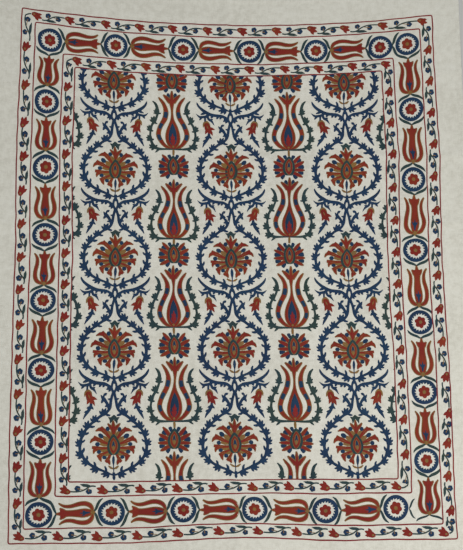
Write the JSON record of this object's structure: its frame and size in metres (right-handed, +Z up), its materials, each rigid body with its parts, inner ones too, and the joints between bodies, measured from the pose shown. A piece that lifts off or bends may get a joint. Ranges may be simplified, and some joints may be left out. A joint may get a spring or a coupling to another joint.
{
  "type": "suzani embroidered textile",
  "caption": "Large flat cotton cover with a turned hem and all-over floral embroidery; a spread, cloth or hanging laid out on a surface.",
  "frame": {"origin": "on the surface that the cover lies on, under the middle of its outline", "axes": "+X towards the right side, +Y towards the head edge, +Z up out of the embroidered face"},
  "size_m": [1.7452, 2.1482, 0.0066],
  "materials": {
    "undyed_cotton": "matt plain-woven cotton, off-white, slightly slubby",
    "madder_thread": "twisted embroidery thread, madder red, soft sheen",
    "crimson_thread": "twisted embroidery thread, dark crimson, soft sheen",
    "indigo_thread": "twisted embroidery thread, indigo blue, soft sheen",
    "green_thread": "twisted embroidery thread, dark blue-green, soft sheen",
    "gold_thread": "twisted embroidery thread, dull gold, soft sheen"
  },
  "bodies": {
    "root": {"ground_cloth": "undyed_cotton"}
  },
  "joints": []
}
